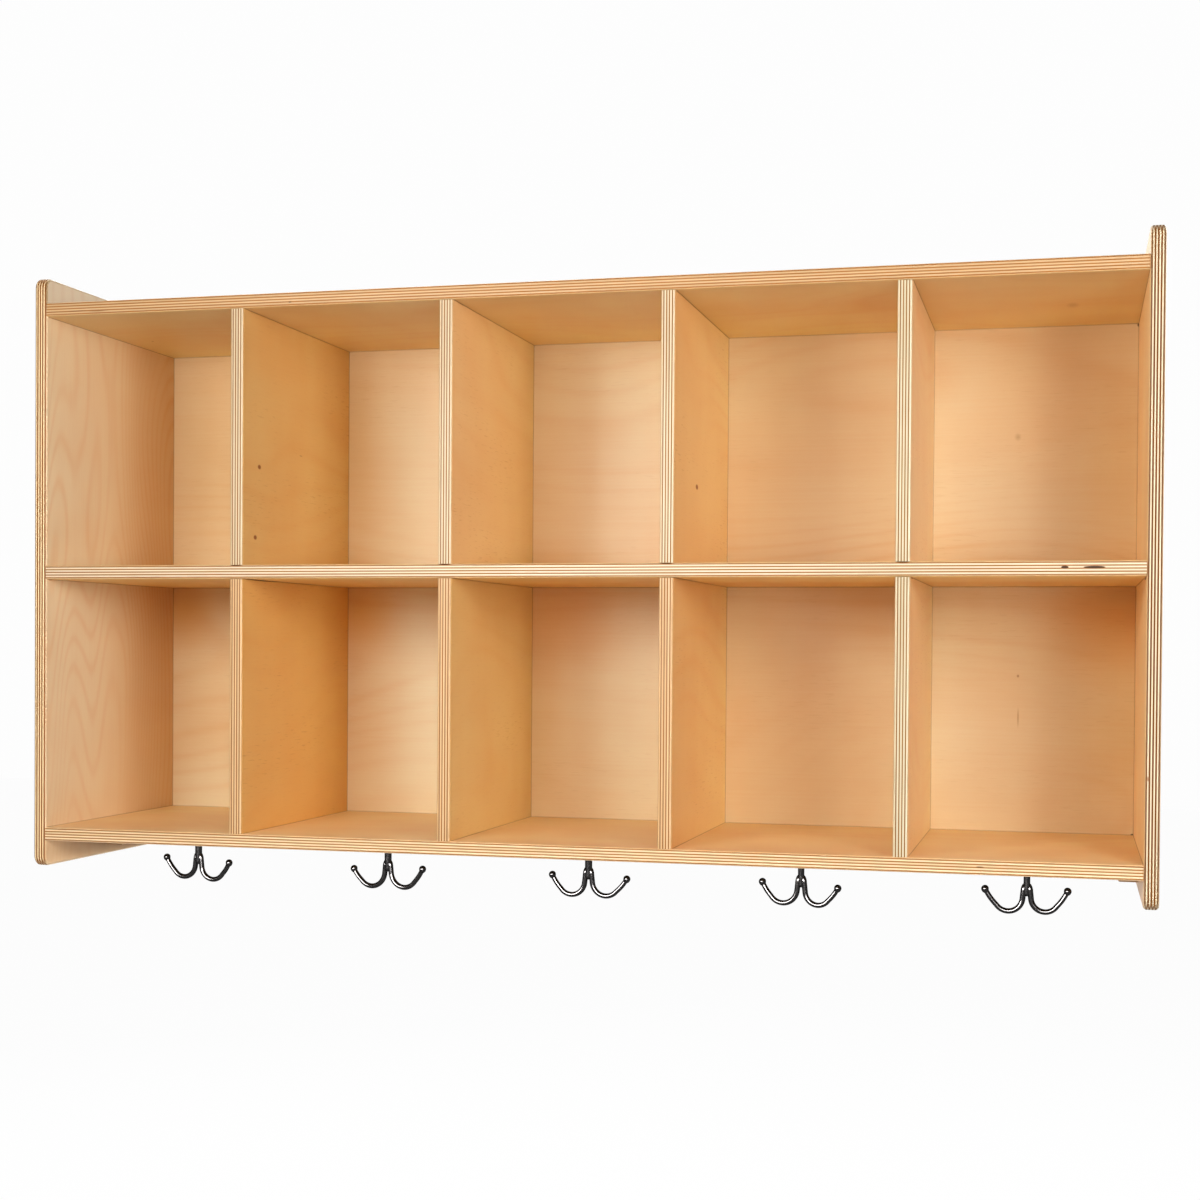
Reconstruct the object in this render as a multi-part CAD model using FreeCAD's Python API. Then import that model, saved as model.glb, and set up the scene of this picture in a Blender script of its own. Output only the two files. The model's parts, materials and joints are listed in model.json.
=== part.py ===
import FreeCAD
import Part
import math
import os

from FreeCAD import Vector

# Wall-mounted cubby unit: two rows of open bays in a plywood case, with double-prong coat hooks below.
# The origin is the centre of the four wall-screw holes, on the wall plane.
# X runs to the right, Y runs into the wall and Z runs up. Lengths are in millimetres, angles in degrees.

# Case
overall_width = 1219.0
clear_depth = 302.0
opening_height = 280.0
bay_count = 5
panel_thickness = 15.0
back_thickness = 6.0
top_lip = 29.0
bottom_lip = 29.0

# Edges of the panels
side_corner_radius = 12.0
side_edge_round = 3.5
front_edge_round = 2.0
rail_edge_round = 1.5

# Back panel in its rabbet
back_seat = 7.5
back_fit = 0.3

# Hanging rails, with one pair of wall-screw holes each
rail_thickness = 15.0
rail_below_side_top = 7.0
wall_hole_diameter = 6.5
wall_hole_spacing = 812.8

# Corner cleats under the bottom shelf
cleat_width = 20.0
cleat_height = 18.0
cleat_setback = 138.0
cleat_gap_to_rail = 35.0
cleat_shelf_screw_inset = 20.0
cleat_side_screw_inset = 42.0

# Room left above each divider, which stands on the shelf below it
divider_clearance = 0.4

# Dowels
dowel_diameter = 8.0
dowel_length = 30.0
dowel_in_side = 9.0
dowel_in_divider = 15.0
dowel_chamfer = 1.0
dowel_fit = 0.1
dowel_end_room = 1.0
dowel_inset = 100.0

# Case screws and the plugs over their heads
case_screw_diameter = 6.0
case_screw_head = 9.5
case_screw_head_height = 3.5
case_screw_length = 46.0
case_screw_inset = 50.0
plug_diameter = 10.0
plug_thickness = 4.5
plug_fit = 0.1

# Wood screws
wood_screw_diameter = 4.0
wood_screw_head = 7.6
wood_screw_head_height = 2.2
rail_screw_length = 33.0
cleat_shelf_screw_length = 28.0
cleat_side_screw_length = 30.0
hook_screw_length = 14.0
back_screw_length = 24.0
back_screw_inset = 60.0

# Cross recess in the screw heads, and the clearance of every screw in its hole
recess_span = 4.4
recess_width = 1.1
recess_depth = 1.5
screw_fit = 0.12

# Double-prong hooks, measured from the underside of the bottom shelf
hook_setback = 152.0
hook_plate_length = 40.0
hook_plate_width = 16.0
hook_plate_thickness = 3.0
hook_plate_edge_round = 1.0
hook_screw_spacing = 27.0
hook_stem_diameter = 8.2
hook_stem_end_drop = 37.0
prong_diameter = 6.2
prong_offset = 3.4
prong_start_drop = 32.5
prong_lean = 6.5
prong_bend_drop = 43.4
prong_bend_radius = 15.7
hook_reach = 43.6
hook_ball_drop = 35.4
hook_ball_diameter = 8.2
hook_turns = (-6.0, -8.0, 0.0, -9.0, -2.5)

# Sizes that follow from the ones above
inner_width = overall_width - 2 * panel_thickness
bay_width = (inner_width - (bay_count - 1) * panel_thickness) / bay_count
bay_pitch = bay_width + panel_thickness
front = -clear_depth - back_thickness
back_face = -back_thickness
half_panel = panel_thickness / 2
opening_top = half_panel + opening_height
case_top = opening_top + panel_thickness
rail_height = top_lip - rail_below_side_top
rail_axis_height = case_top + rail_height / 2
cleat_start = front + cleat_setback
cleat_end = -rail_thickness - cleat_gap_to_rail
divider_places = [-inner_width / 2 + k * bay_pitch - half_panel for k in range(1, bay_count)]
bay_centres = [-inner_width / 2 + bay_width / 2 + k * bay_pitch for k in range(bay_count)]
screw_rows = (front + case_screw_inset, back_face - case_screw_inset)
dowel_rows = (front + dowel_inset, back_face - dowel_inset)

TOLERANCE = 0.01
SIDES = {"left": -1, "right": 1}

pieces = {}
holes = {}
fasteners = {}


def block(x_range, y_range, z_range):
    """Returns a box between the low and high value of each range, given in either order."""
    low = [min(pair) for pair in (x_range, y_range, z_range)]
    high = [max(pair) for pair in (x_range, y_range, z_range)]
    return Part.makeBox(high[0] - low[0], high[1] - low[1], high[2] - low[2], Vector(*low))


def rounded(shape, radius, wall, test):
    """Rounds the edges that pass a test on their bounding box, with the radius kept under half the wall."""
    chosen = [edge for edge in shape.Edges if test(edge.BoundBox)]
    return shape.makeFillet(min(radius, 0.48 * wall), chosen)


def turned(outline):
    """Returns the solid that a closed outline of (radius, height) points sweeps about Z."""
    points = [Vector(radius, 0, height) for radius, height in outline]
    face = Part.Face(Part.makePolygon(points + points[:1]))
    return face.revolve(Vector(0, 0, 0), Vector(0, 0, 1), 360)


def aimed(shape, point, direction):
    """Returns a copy of a shape drawn down from the origin, moved to a point and turned along a direction."""
    copy = shape.copy()
    turn = FreeCAD.Rotation(Vector(0, 0, -1), Vector(*direction))
    copy.Placement = FreeCAD.Placement(Vector(*point), turn)
    return copy


def screw(diameter, head, head_height, length):
    """Countersunk screw with a cross recess, its head's top at the origin and its point down."""
    outline = [
        (0, 0),
        (head / 2, 0),
        (diameter / 2, -head_height),
        (diameter / 2, diameter - length),
        (0, -length),
    ]
    half_span = recess_span / 2
    half_width = recess_width / 2
    slot = (-recess_depth, recess_depth)
    bar = block((-half_span, half_span), (-half_width, half_width), slot)
    cross_bar = block((-half_width, half_width), (-half_span, half_span), slot)
    return turned(outline).cut([bar, cross_bar])


def screw_hole(diameter, head, head_height, length):
    """Drilled and countersunk hole for such a screw, with the screw's clearance all round."""
    head_radius = head / 2 + screw_fit
    radius = diameter / 2 + screw_fit
    bottom = -length - screw_fit
    return turned([
        (0, head_height),
        (head_radius, head_height),
        (head_radius, 0),
        (radius, -head_height),
        (radius, bottom),
        (0, bottom),
    ])


def dowel(length):
    """Round peg with chamfered ends, drawn down from the origin."""
    radius = dowel_diameter / 2
    end_radius = radius - dowel_chamfer
    return turned([
        (0, 0),
        (end_radius, 0),
        (radius, -dowel_chamfer),
        (radius, dowel_chamfer - length),
        (end_radius, -length),
        (0, -length),
    ])


def round_hole(diameter, above, below):
    """Plain bore about Z from a height above the origin to a depth below it."""
    return Part.makeCylinder(diameter / 2, above + below, Vector(0, 0, -below))


def drive(group, fastener, hole, point, direction, through):
    """Adds one fastener to its group and bores its hole in each piece that it passes through."""
    fasteners.setdefault(group, []).append(aimed(fastener, point, direction))
    for name in through:
        holes.setdefault(name, []).append(aimed(hole, point, direction))


def drive_case_screw(group, point, direction, outer, inner):
    """Sets a case screw from an outer face into an inner piece, under a plug that is flush with the face."""
    sizes = (case_screw_diameter, case_screw_head, case_screw_head_height, case_screw_length)
    head_point = [p + plug_thickness * d for p, d in zip(point, direction)]
    drive(group + "_screws", screw(*sizes), screw_hole(*sizes), head_point, direction, [outer, inner])
    plug = Part.makeCylinder(plug_diameter / 2, plug_thickness, Vector(0, 0, -plug_thickness))
    mouth = round_hole(plug_diameter + 2 * plug_fit, plug_thickness, plug_thickness)
    drive(group + "_plugs", plug, mouth, point, direction, [outer])


def drive_wood_screw(group, length, point, direction, through):
    """Sets a wood screw with its head flush at a point."""
    sizes = (wood_screw_diameter, wood_screw_head, wood_screw_head_height, length)
    drive(group, screw(*sizes), screw_hole(*sizes), point, direction, through)


def drive_dowel(group, length, point, direction, through):
    """Sets a dowel that starts at a point, in a bore with room at both ends."""
    bore = round_hole(dowel_diameter + 2 * dowel_fit, dowel_end_room, length + dowel_end_room)
    drive(group, dowel(length), bore, point, direction, through)


def back_rabbet():
    """Space for the back panel and its clearance, cut from the sides and the outer shelves."""
    half_width = inner_width / 2 + back_seat + back_fit
    half_height = opening_top + back_seat + back_fit
    return block((-half_width, half_width), (back_face, back_thickness), (-half_height, half_height))


def side_panel(side):
    """Upright side with rounded front corners and rounded edges, square at the wall."""
    x_range = (side * inner_width / 2, side * overall_width / 2)
    panel = block(x_range, (front, 0), (-case_top - bottom_lip, case_top + top_lip))
    panel = rounded(
        panel, side_corner_radius, min(top_lip, bottom_lip) * 2,
        lambda box: box.XLength > TOLERANCE and box.YMax < front + TOLERANCE,
    )
    panel = rounded(
        panel, side_edge_round, panel_thickness,
        lambda box: box.XLength < TOLERANCE and box.YMin < -TOLERANCE,
    )
    return panel.cut(back_rabbet())


def shelf(middle_height, rear):
    """Level board between the side panels, with its front edges rounded."""
    board = block(
        (-inner_width / 2, inner_width / 2), (front, rear),
        (middle_height - half_panel, middle_height + half_panel),
    )
    return rounded(
        board, front_edge_round, panel_thickness,
        lambda box: box.XLength > TOLERANCE and box.YMax < front + TOLERANCE,
    )


def divider(middle_x, bottom):
    """Upright board between two shelves, with its front edges rounded."""
    top = bottom + opening_height - divider_clearance
    board = block((middle_x - half_panel, middle_x + half_panel), (front, back_face), (bottom, top))
    return rounded(
        board, front_edge_round, panel_thickness,
        lambda box: box.ZLength > TOLERANCE and box.YMax < front + TOLERANCE,
    )


def hanging_rail(upward):
    """Bar against the wall, above the top shelf or below the bottom one, with its outer front edge rounded."""
    outer = upward * (case_top + rail_height)
    bar = block((-inner_width / 2, inner_width / 2), (-rail_thickness, 0), (upward * case_top, outer))
    return rounded(
        bar, rail_edge_round, min(rail_thickness, rail_height),
        lambda box: box.XLength > TOLERANCE and box.YMax < TOLERANCE - rail_thickness
        and abs(box.ZMin - outer) < TOLERANCE,
    )


def corner_cleat(side):
    """Block under the bottom shelf against a side panel, with its free lower edge rounded."""
    inner_x = side * (inner_width / 2 - cleat_width)
    bottom = -case_top - cleat_height
    bar = block((inner_x, side * inner_width / 2), (cleat_start, cleat_end), (bottom, -case_top))
    return rounded(
        bar, rail_edge_round, min(cleat_width, cleat_height),
        lambda box: box.YLength > TOLERANCE and box.ZMax < bottom + TOLERANCE
        and abs(box.XMin - inner_x) < TOLERANCE,
    )


def hook_prong(side):
    """Bent rod from the stem to the ball: a straight shank, a round bend and a straight arm tangent to it."""
    lean = math.radians(prong_lean)
    start = (prong_offset, -prong_start_drop)
    bend = (prong_offset + (prong_bend_drop - prong_start_drop) * math.tan(lean), -prong_bend_drop)
    centre = (bend[0] + prong_bend_radius * math.cos(lean), bend[1] + prong_bend_radius * math.sin(lean))
    ball = (hook_reach, -hook_ball_drop)
    ball_distance = math.hypot(ball[0] - centre[0], ball[1] - centre[1])
    ball_bearing = math.atan2(ball[1] - centre[1], ball[0] - centre[0])
    leave_bearing = ball_bearing - math.acos(prong_bend_radius / ball_distance)
    enter_bearing = math.pi + lean
    middle_bearing = (enter_bearing + leave_bearing + 2 * math.pi) / 2

    def on_bend(bearing):
        across = centre[0] + prong_bend_radius * math.cos(bearing)
        return Vector(side * across, 0, centre[1] + prong_bend_radius * math.sin(bearing))

    def in_plane(point):
        return Vector(side * point[0], 0, point[1])

    leave = on_bend(leave_bearing)
    path = Part.Wire([
        Part.LineSegment(in_plane(start), in_plane(bend)).toShape(),
        Part.Arc(in_plane(bend), on_bend(middle_bearing), leave).toShape(),
        Part.LineSegment(leave, in_plane(ball)).toShape(),
    ])
    along = in_plane(bend) - in_plane(start)
    section = Part.Wire(Part.makeCircle(prong_diameter / 2, in_plane(start), along))
    rod = path.makePipeShell([section], True, False)
    shoulder = Part.makeSphere(prong_diameter / 2, in_plane(start))
    tip = Part.makeSphere(hook_ball_diameter / 2, in_plane(ball))
    return [rod, shoulder, tip]


def hook_plate():
    """Flat plate with round ends that screws to the shelf, its top at the origin and its lower rim rounded."""
    end_radius = hook_plate_width / 2
    end_place = hook_plate_length / 2 - end_radius
    plate = block((-end_place, end_place), (-end_radius, end_radius), (-hook_plate_thickness, 0))
    ends = [
        Part.makeCylinder(end_radius, hook_plate_thickness, Vector(x, 0, -hook_plate_thickness))
        for x in (-end_place, end_place)
    ]
    plate = plate.multiFuse(ends).removeSplitter()
    return rounded(
        plate, hook_plate_edge_round, hook_plate_thickness,
        lambda box: box.ZMax < TOLERANCE - hook_plate_thickness,
    )


def double_hook():
    """Hook below its plate: a stem with a round end, and two prongs with ball tips."""
    stem_radius = hook_stem_diameter / 2
    stem_length = hook_stem_end_drop - hook_plate_thickness
    stem = Part.makeCylinder(stem_radius, stem_length, Vector(0, 0, -hook_stem_end_drop))
    stem_end = Part.makeSphere(stem_radius, Vector(0, 0, -hook_stem_end_drop))
    return stem.multiFuse([stem_end] + hook_prong(-1) + hook_prong(1)).removeSplitter()


def add_case():
    """Adds the sides, shelves, dividers and back, with the dowels and screws that join them."""
    rabbet = back_rabbet()
    pieces["top_shelf"] = shelf(opening_top + half_panel, 0).cut(rabbet)
    pieces["middle_shelf"] = shelf(0, back_face)
    pieces["bottom_shelf"] = shelf(-opening_top - half_panel, 0).cut(rabbet)
    half_width = inner_width / 2 + back_seat
    half_height = opening_top + back_seat
    pieces["back_panel"] = block((-half_width, half_width), (back_face, 0), (-half_height, half_height))
    shelf_heights = {
        "top_shelf": opening_top + half_panel,
        "middle_shelf": 0,
        "bottom_shelf": -opening_top - half_panel,
    }
    for label, side in SIDES.items():
        panel = label + "_side_panel"
        pieces[panel] = side_panel(side)
        inward = (-side, 0, 0)
        for board, height in shelf_heights.items():
            for y in screw_rows:
                drive_case_screw("side", (side * overall_width / 2, y, height), inward, panel, board)
            for y in dowel_rows:
                peg_end = (side * (inner_width / 2 + dowel_in_side), y, height)
                drive_dowel("shelf_dowels", dowel_length, peg_end, inward, [panel, board])
    for x in bay_centres:
        drive_wood_screw("back_screws", back_screw_length, (x, 0, 0), (0, -1, 0), ["back_panel", "middle_shelf"])
    for number, x in enumerate(divider_places, 1):
        add_dividers(number, x)


def add_dividers(number, x):
    """Adds the divider of each row at one place, and what holds them to the shelves and the back."""
    upper = f"upper_divider_{number}"
    lower = f"lower_divider_{number}"
    pieces[upper] = divider(x, half_panel)
    pieces[lower] = divider(x, -opening_top)
    for y in screw_rows:
        drive_case_screw("divider", (x, y, case_top), (0, 0, -1), "top_shelf", upper)
        drive_case_screw("divider", (x, y, -case_top), (0, 0, 1), "bottom_shelf", lower)
    for y in dowel_rows:
        length = panel_thickness + 2 * dowel_in_divider
        drive_dowel("divider_dowels", length, (x, y, length / 2), (0, 0, -1), [upper, "middle_shelf", lower])
    for row_name, bottom in ((upper, half_panel), (lower, -opening_top)):
        for z in (bottom + back_screw_inset, bottom + opening_height - back_screw_inset):
            drive_wood_screw("back_screws", back_screw_length, (x, 0, z), (0, -1, 0), ["back_panel", row_name])


def add_hanging_rails():
    """Adds the two rails with their wall holes, screwed to the shelves and through the sides."""
    for name, upward, board in (("upper_hanging_rail", 1, "top_shelf"), ("lower_hanging_rail", -1, "bottom_shelf")):
        pieces[name] = hanging_rail(upward)
        height = upward * rail_axis_height
        middle_y = -rail_thickness / 2
        for x in (-wall_hole_spacing / 2, wall_hole_spacing / 2):
            wall_hole = round_hole(wall_hole_diameter, rail_thickness, 2 * rail_thickness)
            holes.setdefault(name, []).append(aimed(wall_hole, (x, 0, height), (0, -1, 0)))
        for x in bay_centres:
            outer = (x, middle_y, upward * (case_top + rail_height))
            drive_wood_screw("rail_screws", rail_screw_length, outer, (0, 0, -upward), [name, board])
        for label, side in SIDES.items():
            face_point = (side * overall_width / 2, middle_y, height)
            drive_case_screw("side", face_point, (-side, 0, 0), label + "_side_panel", name)


def add_corner_cleats():
    """Adds the two cleats, each screwed up into the shelf and outwards into its side panel."""
    for label, side in SIDES.items():
        name = label + "_corner_cleat"
        pieces[name] = corner_cleat(side)
        middle_x = side * (inner_width - cleat_width) / 2
        for y in (cleat_start + cleat_shelf_screw_inset, cleat_end - cleat_shelf_screw_inset):
            point = (middle_x, y, -case_top - cleat_height)
            drive_wood_screw("cleat_screws", cleat_shelf_screw_length, point, (0, 0, 1), [name, "bottom_shelf"])
        for y in (cleat_start + cleat_side_screw_inset, cleat_end - cleat_side_screw_inset):
            point = (side * (inner_width / 2 - cleat_width), y, -case_top - cleat_height / 2)
            through = [name, label + "_side_panel"]
            drive_wood_screw("cleat_screws", cleat_side_screw_length, point, (side, 0, 0), through)


def add_hooks():
    """Adds one hook below the middle of each bay, turned a little about its stem, on a plate with two screws."""
    y = front + hook_setback
    plates = []
    for number, x in enumerate(bay_centres, 1):
        turn = hook_turns[(number - 1) % len(hook_turns)]
        place = FreeCAD.Placement(Vector(x, y, -case_top), FreeCAD.Rotation(Vector(0, 0, 1), turn))
        hook = double_hook()
        hook.Placement = place
        pieces[f"hook_{number}"] = hook
        plate = hook_plate()
        plate.Placement = place
        plates.append(plate)
        for end in (-1, 1):
            head = place.multVec(Vector(end * hook_screw_spacing / 2, 0, -hook_plate_thickness))
            drive_wood_screw("hook_screws", hook_screw_length, head, (0, 0, 1), ["hook_plates", "bottom_shelf"])
    pieces["hook_plates"] = Part.makeCompound(plates)


def write_parts():
    """Bores the holes and writes one file for each piece and each group of fasteners."""
    os.makedirs("parts", exist_ok=True)
    for name, shape in pieces.items():
        bored = shape.cut(holes[name]) if name in holes else shape
        bored.exportStep(f"parts/{name}.step")
        print(name, len(bored.Solids), bored.isValid(), round(bored.Volume))
    for name, solids in fasteners.items():
        Part.makeCompound(solids).exportStep(f"parts/{name}.step")
        print(name, len(solids))


add_case()
add_hanging_rails()
add_corner_cleats()
add_hooks()
write_parts()
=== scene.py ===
"""Wall-mounted cubby unit: a birch plywood case with black double-prong hooks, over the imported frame."""

import json
import logging
import math
from dataclasses import dataclass
from enum import Enum
from functools import cached_property
from typing import Optional, Sequence, Union

import bmesh
import bpy
import numpy as np
from mathutils import Matrix, Vector

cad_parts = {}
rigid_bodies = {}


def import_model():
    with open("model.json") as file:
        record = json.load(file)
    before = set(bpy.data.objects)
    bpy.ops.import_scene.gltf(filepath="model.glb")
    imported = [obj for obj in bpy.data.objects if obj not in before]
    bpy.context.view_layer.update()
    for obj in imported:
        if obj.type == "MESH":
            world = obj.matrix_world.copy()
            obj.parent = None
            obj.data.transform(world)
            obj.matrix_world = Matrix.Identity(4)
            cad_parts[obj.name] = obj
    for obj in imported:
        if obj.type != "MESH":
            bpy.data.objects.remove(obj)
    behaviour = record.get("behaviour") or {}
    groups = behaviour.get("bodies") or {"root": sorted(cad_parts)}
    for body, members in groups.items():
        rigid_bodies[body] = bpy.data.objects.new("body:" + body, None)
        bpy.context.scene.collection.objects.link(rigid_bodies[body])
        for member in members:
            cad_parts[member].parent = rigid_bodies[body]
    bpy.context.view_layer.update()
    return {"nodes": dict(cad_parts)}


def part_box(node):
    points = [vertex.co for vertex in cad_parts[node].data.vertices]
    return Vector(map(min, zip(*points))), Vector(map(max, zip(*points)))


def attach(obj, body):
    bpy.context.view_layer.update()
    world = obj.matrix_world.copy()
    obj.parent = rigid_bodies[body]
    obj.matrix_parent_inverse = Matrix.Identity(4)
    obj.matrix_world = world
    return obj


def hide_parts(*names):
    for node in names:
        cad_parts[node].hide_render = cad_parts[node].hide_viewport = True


for leftover in list(bpy.data.objects):
    bpy.data.objects.remove(leftover)
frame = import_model()

log = logging.getLogger("cubby_unit")

Colour = tuple[float, float, float, float]
Triple = tuple[float, float, float]
Socket = bpy.types.NodeSocket
Feed = Union[Socket, float, Sequence[float]]

# Places of the main faces, in metres: X runs to the right, Y into the wall and Z up.
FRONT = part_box("middle_shelf")[0].y
BACK_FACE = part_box("back_panel")[0].y
LEFT_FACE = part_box("left_side_panel")[1].x
RIGHT_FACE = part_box("right_side_panel")[0].x
TOP_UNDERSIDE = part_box("top_shelf")[0].z
MIDDLE_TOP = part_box("middle_shelf")[1].z
BOTTOM_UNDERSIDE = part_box("bottom_shelf")[0].z
UPPER_DIVIDERS = [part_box(f"upper_divider_{number}") for number in range(1, 5)]
BAY_WIDTH = UPPER_DIVIDERS[0][0].x - LEFT_FACE
BAY_PITCH = UPPER_DIVIDERS[1][0].x - UPPER_DIVIDERS[0][0].x


def seen(red: int, green: int, blue: int) -> Colour:
    """Turns a colour as the eye sees it, 0 to 255 a channel, into linear values with full alpha."""
    shares = [channel / 255 for channel in (red, green, blue)]
    linear = [s / 12.92 if s <= 0.04045 else ((s + 0.055) / 1.055) ** 2.4 for s in shares]
    return (*linear, 1.0)


def scaled(colour: Colour, tone: Triple) -> Colour:
    """Returns a linear colour times a tone, channel by channel."""
    return (colour[0] * tone[0], colour[1] * tone[1], colour[2] * tone[2], 1.0)


class ShaderGraph:
    """Builds the node tree of one material or world."""

    def __init__(self, owner: Union[bpy.types.Material, bpy.types.World]) -> None:
        """Starts with an empty tree."""
        owner.use_nodes = True
        self.owner = owner
        self.tree = owner.node_tree
        self.tree.nodes.clear()

    @classmethod
    def of_material(cls, name: str) -> "ShaderGraph":
        """Returns the graph of a new material."""
        return cls(bpy.data.materials.new(name))

    @cached_property
    def coords(self) -> bpy.types.NodeOutputs:
        """Places and normals in the object's own axes, as Object and Normal."""
        return self.add("ShaderNodeTexCoord").outputs

    def add(
        self, kind: str, feeds: Optional[dict[Union[int, str], Feed]] = None, **settings: object
    ) -> bpy.types.Node:
        """Adds a node.

        Args:
            kind: the node's type name.
            feeds: an output to link, or a constant, for its inputs by their number or name.
            settings: properties to set on it.

        Returns:
            The new node.
        """
        node = self.tree.nodes.new(kind)
        for key, value in settings.items():
            setattr(node, key, value)
        for key, value in (feeds or {}).items():
            if isinstance(value, Socket):
                self.tree.links.new(value, node.inputs[key])
            else:
                node.inputs[key].default_value = value
        return node

    def math(self, operation: str, *values: Feed) -> Socket:
        """Returns the result of a scalar operation on its operands."""
        return self.add("ShaderNodeMath", dict(enumerate(values)), operation=operation).outputs[0]

    def fold(self, operation: str, *values: Feed) -> Socket:
        """Returns several numbers joined by one operation, such as their sum or the least of them."""
        result = values[0]
        for value in values[1:]:
            result = self.math(operation, result, value)
        return result

    def gap(self, first: Feed, second: Feed) -> Socket:
        """Returns the distance between two numbers."""
        return self.math("ABSOLUTE", self.math("SUBTRACT", first, second))

    def vector(self, operation: str, *values: Feed) -> Socket:
        """Returns the result of a vector operation, which is a number for a length."""
        node = self.add("ShaderNodeVectorMath", dict(enumerate(values)), operation=operation)
        return node.outputs["Value" if operation == "LENGTH" else "Vector"]

    def split(self, vector: Feed) -> list[Socket]:
        """Returns the three parts of a vector."""
        return list(self.add("ShaderNodeSeparateXYZ", {0: vector}).outputs)

    def noise(self, place: Feed, stretch: Triple, detail: float = 2.0, rough: float = 0.5) -> Socket:
        """Adds a noise field that is stretched by a different amount along each axis.

        Args:
            place: where the field is read, in metres.
            stretch: features per metre along each axis.
            detail: number of finer layers.
            rough: strength of the finer layers.

        Returns:
            The field, around 0.5.
        """
        where = self.vector("MULTIPLY", place, stretch)
        feeds = {"Vector": where, "Scale": 1.0, "Detail": detail, "Roughness": rough}
        return self.add("ShaderNodeTexNoise", feeds).outputs[0]

    def step(self, value: Feed, low: float, high: float, start: float = 0.0, end: float = 1.0) -> Socket:
        """Adds a smooth step from start to end as a value goes from low to high.

        Args:
            value: the value.
            low: where the step begins.
            high: where it ends.
            start: result below it.
            end: result above it.

        Returns:
            The stepped value.
        """
        feeds = dict(enumerate((value, low, high, start, end)))
        return self.add("ShaderNodeMapRange", feeds, interpolation_type="SMOOTHSTEP").outputs[0]

    def centred(self, value: Feed, weight: float) -> Socket:
        """Returns a field around 0.5 as a signed amount around zero, times a weight."""
        return self.math("MULTIPLY", self.math("SUBTRACT", value, 0.5), weight)

    def blend(self, share: Feed, first: Feed, second: Feed, mode: str = "MIX") -> Socket:
        """Adds a colour mix.

        Args:
            share: how much of the second colour shows, which the node keeps in 0 to 1.
            first: first colour.
            second: second colour.
            mode: how the two combine.

        Returns:
            The mixed colour.
        """
        feeds = {0: share, 6: first, 7: second}
        return self.add("ShaderNodeMix", feeds, data_type="RGBA", blend_type=mode).outputs[2]

    def surface(self, colour: Feed, roughness: Feed, relief: Feed, depth: float, **others: Feed) -> None:
        """Ends the tree in one shader with a relief.

        Args:
            colour: base colour.
            roughness: roughness.
            relief: height field of the relief, 0 to 1.
            depth: height of the relief in metres.
            others: other inputs of the shader, by name with underscores for spaces.
        """
        bump = self.add("ShaderNodeBump", {"Strength": 1.0, "Distance": depth, "Height": relief})
        feeds = {"Base Color": colour, "Roughness": roughness, "Normal": bump.outputs[0]}
        feeds.update((key.replace("_", " "), value) for key, value in others.items())
        shader = self.add("ShaderNodeBsdfPrincipled", feeds)
        self.add("ShaderNodeOutputMaterial", {"Surface": shader.outputs[0]})

    def two_way(self, ending: str, seen_share: float, unseen: bpy.types.Node, shown: bpy.types.Node) -> None:
        """Ends the tree in one shader for light, and in another to the camera, in metal and through glass.

        Args:
            ending: type name of the last node.
            seen_share: how far the second shader covers the first one there.
            unseen: the shader for light.
            shown: the shader that is seen.
        """
        rays = self.add("ShaderNodeLightPath").outputs
        seen_rays = (rays[f"Is {kind} Ray"] for kind in ("Camera", "Glossy", "Transmission"))
        share = self.math("MULTIPLY", self.fold("MAXIMUM", *seen_rays), seen_share)
        mix = self.add("ShaderNodeMixShader", {0: share, 1: unseen.outputs[0], 2: shown.outputs[0]})
        self.add(ending, {"Surface": mix.outputs[0]})


def placed(name: str, data: bpy.types.ID) -> bpy.types.Object:
    """Returns a new object in the scene that holds the data."""
    holder = bpy.data.objects.new(name, data)
    bpy.context.scene.collection.objects.link(holder)
    return holder


class Lay(Enum):
    """How a board lies: rows that turn the axes into along the grain, across it and through the plies."""

    SHELF = ((1, 0, 0), (0, 1, 0), (0, 0, 1))
    SIDE = ((0, 0, 1), (0, 1, 0), (-1, 0, 0))
    DIVIDER = ((0, 1, 0), (0, 0, 1), (1, 0, 0))
    BACK = ((1, 0, 0), (0, 0, 1), (0, -1, 0))
    CLEAT = ((0, 1, 0), (-1, 0, 0), (0, 0, 1))


@dataclass(frozen=True)
class Figure:
    """The drawing of a birch face.

    Attributes:
        rings: growth rings per metre across the grain.
        bends: features per metre along and across the grain of the field that bends the rings.
        sway: how many rings that field moves them.
        depth: how dark a ring is.
        flecks: how dark the short flecks are.
        cloud: strength of the broad lighter and darker areas.
    """

    rings: float
    bends: tuple[float, float]
    sway: float
    depth: float
    flecks: float
    cloud: float


class Cut(Enum):
    """Kinds of birch face in the unit."""

    BROAD = Figure(rings=30.0, bends=(1.5, 4.8), sway=17.0, depth=0.16, flecks=0.10, cloud=0.75)
    CATHEDRAL = Figure(rings=44.0, bends=(1.7, 6.5), sway=26.0, depth=0.24, flecks=0.05, cloud=0.6)
    FLECKED = Figure(rings=18.0, bends=(2.4, 5.0), sway=9.0, depth=0.14, flecks=0.30, cloud=0.8)
    MOTTLED = Figure(rings=12.0, bends=(3.0, 6.0), sway=8.0, depth=0.10, flecks=0.10, cloud=1.0)


class MarkMode(Enum):
    """How a mark changes the wood under it."""

    COVERS = "MIX"
    TONES = "MULTIPLY"


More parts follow.
